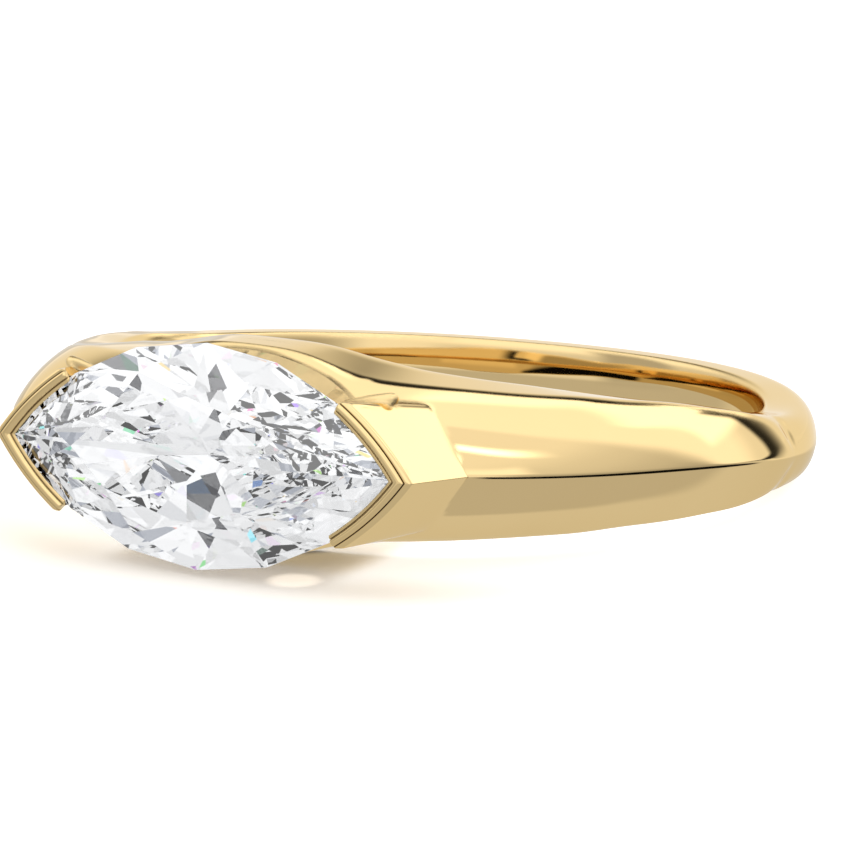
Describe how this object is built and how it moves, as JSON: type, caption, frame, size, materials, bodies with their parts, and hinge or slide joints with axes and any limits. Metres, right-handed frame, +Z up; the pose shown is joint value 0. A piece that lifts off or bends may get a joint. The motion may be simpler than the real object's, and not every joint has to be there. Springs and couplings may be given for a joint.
{
  "type": "marquise engagement ring",
  "caption": "Finger ring with a pointed oval stone held by two V-shaped end caps between ridged shoulders that taper into a plain round band.",
  "frame": {"origin": "centre of the finger hole, on the mid-plane of the ring", "axes": "+X to the right seen facing the head; the head with the stone faces -Y and the back of the band is at +Y; +Z up, with the ring lying on its side on a level floor, so the finger hole runs along +Z leaned 5.7 degrees toward +Y"},
  "size_m": [0.0196, 0.0224, 0.0056],
  "materials": {
    "gold": "polished 18 carat yellow gold",
    "diamond": "faceted and polished colourless diamond"
  },
  "bodies": {
    "root": {"gold_mount": "gold", "marquise_stone": "diamond"}
  },
  "joints": []
}
